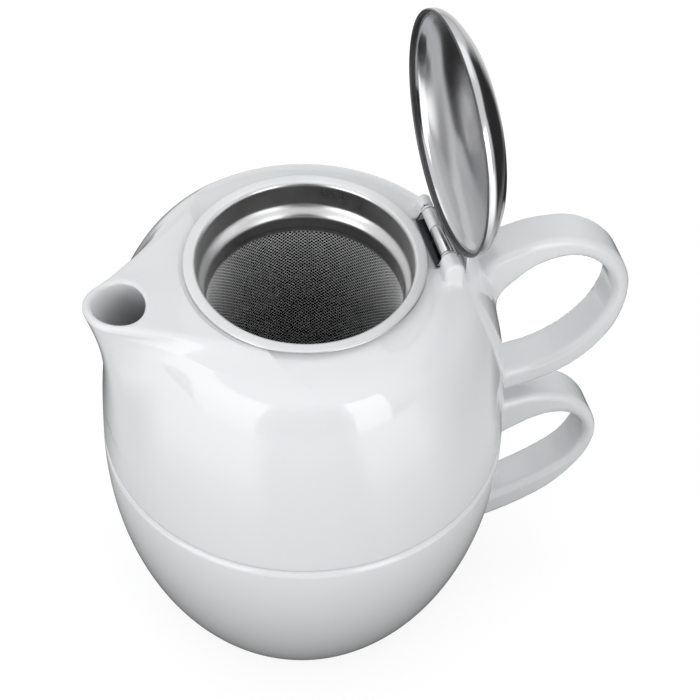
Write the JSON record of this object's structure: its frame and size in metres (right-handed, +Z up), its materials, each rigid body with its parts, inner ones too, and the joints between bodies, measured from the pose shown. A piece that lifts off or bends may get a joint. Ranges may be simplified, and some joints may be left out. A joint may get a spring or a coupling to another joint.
{
  "type": "teapot infuser set",
  "caption": "White porcelain teapot nested in its own cup, with a hanging steel basket infuser and a hinged steel lid standing open.",
  "frame": {"origin": "on the table, under the middle of the set's bounding box with the lid open; the teapot's own axis is 16.7 mm towards -X", "axes": "+Z up, spout towards -X, both handles and the lid hinge towards +X, hinge axis along Y"},
  "size_m": [0.1658, 0.12, 0.2223],
  "materials": {
    "porcelain": "clear glossy glaze over white porcelain",
    "satin_steel": "satin stainless steel, drawn",
    "perforated_steel": "finely perforated stainless sheet",
    "polished_steel": "mirror-polished stainless steel with light handling marks"
  },
  "bodies": {
    "cup": {"cup_body": "porcelain"},
    "teapot": {"teapot_body": "porcelain", "hinge_bracket": "polished_steel", "hinge_pin": "polished_steel", "hinge_spacer_sleeve": "polished_steel"},
    "infuser": {"infuser_collar": "satin_steel", "infuser_mesh_wall": "perforated_steel", "infuser_mesh_floor": "perforated_steel", "infuser_bottom_band": "satin_steel"},
    "lid": {"lid_dome": "polished_steel", "lid_hinge_leaf": "polished_steel"}
  },
  "joints": [
    {"name": "teapot_lift", "type": "slide", "parent": "cup", "child": "teapot", "axis": [0, 0, 1], "range_m": [0, 0.05]},
    {"name": "infuser_lift", "type": "slide", "parent": "teapot", "child": "infuser", "axis": [0, 0, 1], "range_m": [0, 0.11]},
    {"name": "lid_hinge", "type": "hinge", "parent": "teapot", "child": "lid", "pos_m": [0.02337, 0, 0.14667], "axis": [0, -1, 0], "range_deg": [0, 91]}
  ]
}
